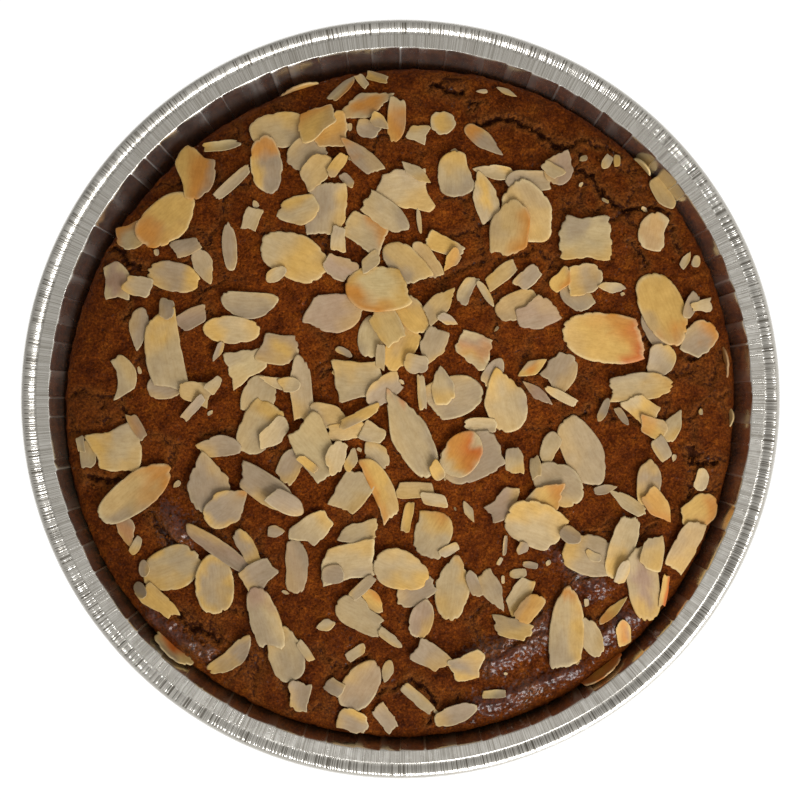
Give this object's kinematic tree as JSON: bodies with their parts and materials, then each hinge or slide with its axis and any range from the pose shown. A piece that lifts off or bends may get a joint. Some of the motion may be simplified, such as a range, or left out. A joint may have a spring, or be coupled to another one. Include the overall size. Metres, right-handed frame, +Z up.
{
  "type": "speculoos tart",
  "caption": "Round brown spiced tart topped with flaked almonds, baked in its own pleated foil tray with a rolled rim.",
  "frame": {"origin": "middle of the tray's flat underside", "axes": "+Z up out of the tray; the tart is round, +X and +Y are the right and the top of the view from above"},
  "size_m": [0.214, 0.214, 0.0399],
  "materials": {
    "foil": "bright thin foil, finely pleated on the flange and creased down the wall",
    "crust": "baked brown crust with fine pores and cracks, slightly glossy on the shoulder",
    "almond": "dry flaked almond, ivory to toasted gold, with a paler cut edge"
  },
  "bodies": {
    "root": {"foil_tray": "foil", "tart": "crust"}
  },
  "joints": []
}
